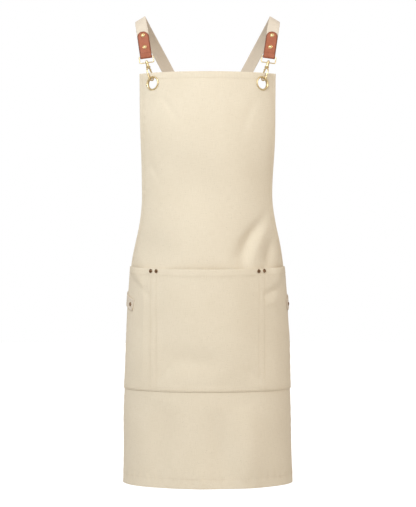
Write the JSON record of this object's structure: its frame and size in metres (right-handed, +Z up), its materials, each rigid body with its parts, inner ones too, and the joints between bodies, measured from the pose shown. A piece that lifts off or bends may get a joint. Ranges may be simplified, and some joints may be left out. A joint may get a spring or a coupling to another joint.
{
  "type": "cross back apron",
  "caption": "Canvas bib apron with a pocket panel across the front, webbing straps that cross at the back, leather tabs and swivel snap hooks in brass eyelets.",
  "frame": {"origin": "midway between the undersides of the two straps at their crests, where they lie on the wearer's shoulders", "axes": "+Z up, the front of the apron faces -Y, +X to the right of someone who looks at the front"},
  "size_m": [0.361, 0.2521, 0.9923],
  "materials": {
    "canvas": "heavy plain-weave cotton canvas, natural",
    "webbing": "woven cotton webbing, natural",
    "leather": "smooth tan leather, edge stitched",
    "brass": "polished pale gold",
    "antique_brass": "darkened antique brass"
  },
  "bodies": {
    "apron": {"apron_panel": "canvas", "pocket_panel": "canvas", "strap_left": "webbing", "strap_right": "webbing", "leather_tab_left": "leather", "leather_tab_right": "leather", "eyelet_left": "brass", "eyelet_right": "brass", "loop_left": "brass", "loop_right": "brass", "tab_rivet_left_upper": "brass", "tab_rivet_left_lower": "brass", "tab_rivet_right_upper": "brass", "tab_rivet_right_lower": "brass", "pocket_rivet_left_outer": "antique_brass", "pocket_rivet_left_inner": "antique_brass", "pocket_rivet_right_outer": "antique_brass", "pocket_rivet_right_inner": "antique_brass", "side_rivet_left": "antique_brass", "side_rivet_right": "antique_brass"},
    "hook_left": {"hook_left": "brass"},
    "gate_left": {"gate_left": "brass"},
    "hook_right": {"hook_right": "brass"},
    "gate_right": {"gate_right": "brass"}
  },
  "joints": [
    {"name": "hook_left_swivel", "type": "hinge", "parent": "apron", "child": "hook_left", "pos_m": [-0.12697, -0.06657, -0.09837], "axis": [-0.2719, 0.1344, 0.9529], "range_deg": [-15, 15]},
    {"name": "gate_left_lever", "type": "hinge", "parent": "hook_left", "child": "gate_left", "pos_m": [-0.12262, -0.0659, -0.10772], "axis": [-0.7296, 0.6168, -0.2952], "range_deg": [0, 9], "stiffness_Nm_per_rad": 0.02, "springref_deg": -8.59},
    {"name": "hook_right_swivel", "type": "hinge", "parent": "apron", "child": "hook_right", "pos_m": [0.12697, -0.06657, -0.09837], "axis": [0.2719, 0.1344, 0.9529], "range_deg": [-15, 15]},
    {"name": "gate_right_lever", "type": "hinge", "parent": "hook_right", "child": "gate_right", "pos_m": [0.12262, -0.0659, -0.10772], "axis": [-0.7296, -0.6168, 0.2952], "range_deg": [0, 9], "stiffness_Nm_per_rad": 0.02, "springref_deg": -8.59}
  ]
}
